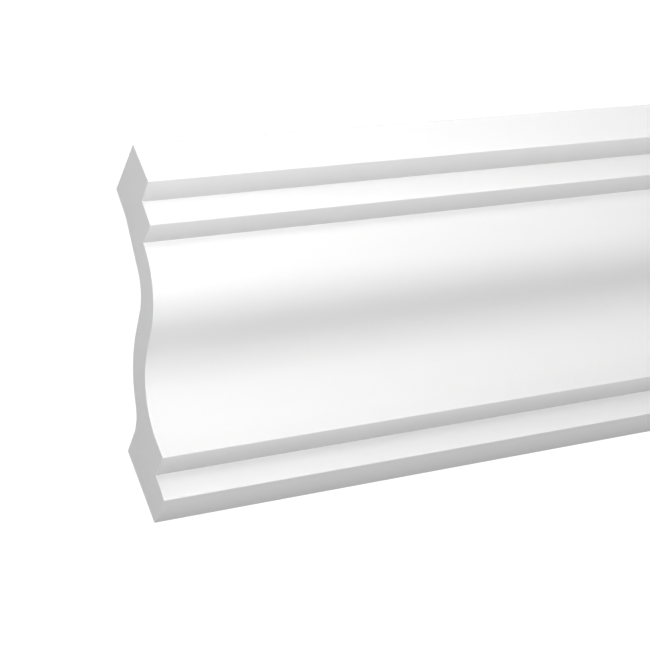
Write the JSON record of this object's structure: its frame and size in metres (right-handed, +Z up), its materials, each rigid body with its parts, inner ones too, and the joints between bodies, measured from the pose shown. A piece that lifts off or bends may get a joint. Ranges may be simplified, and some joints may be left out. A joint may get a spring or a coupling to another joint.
{
  "type": "crown moulding length",
  "caption": "Straight length of white crown moulding with a stepped top, an ogee and a stepped foot, hollow behind, that covers the corner between wall and ceiling.",
  "frame": {"origin": "centre of the flat that lies on the wall, midway between the cut ends", "axes": "+X along the length, +Y into the wall, +Z up to the ceiling; the front faces -Y and down"},
  "size_m": [1, 0.1, 0.105],
  "materials": {
    "primed_foam": "smooth matt white factory primer on moulded faces, fine-celled white foam on the two saw-cut ends"
  },
  "bodies": {
    "root": {"crown_moulding": "primed_foam"}
  },
  "joints": []
}
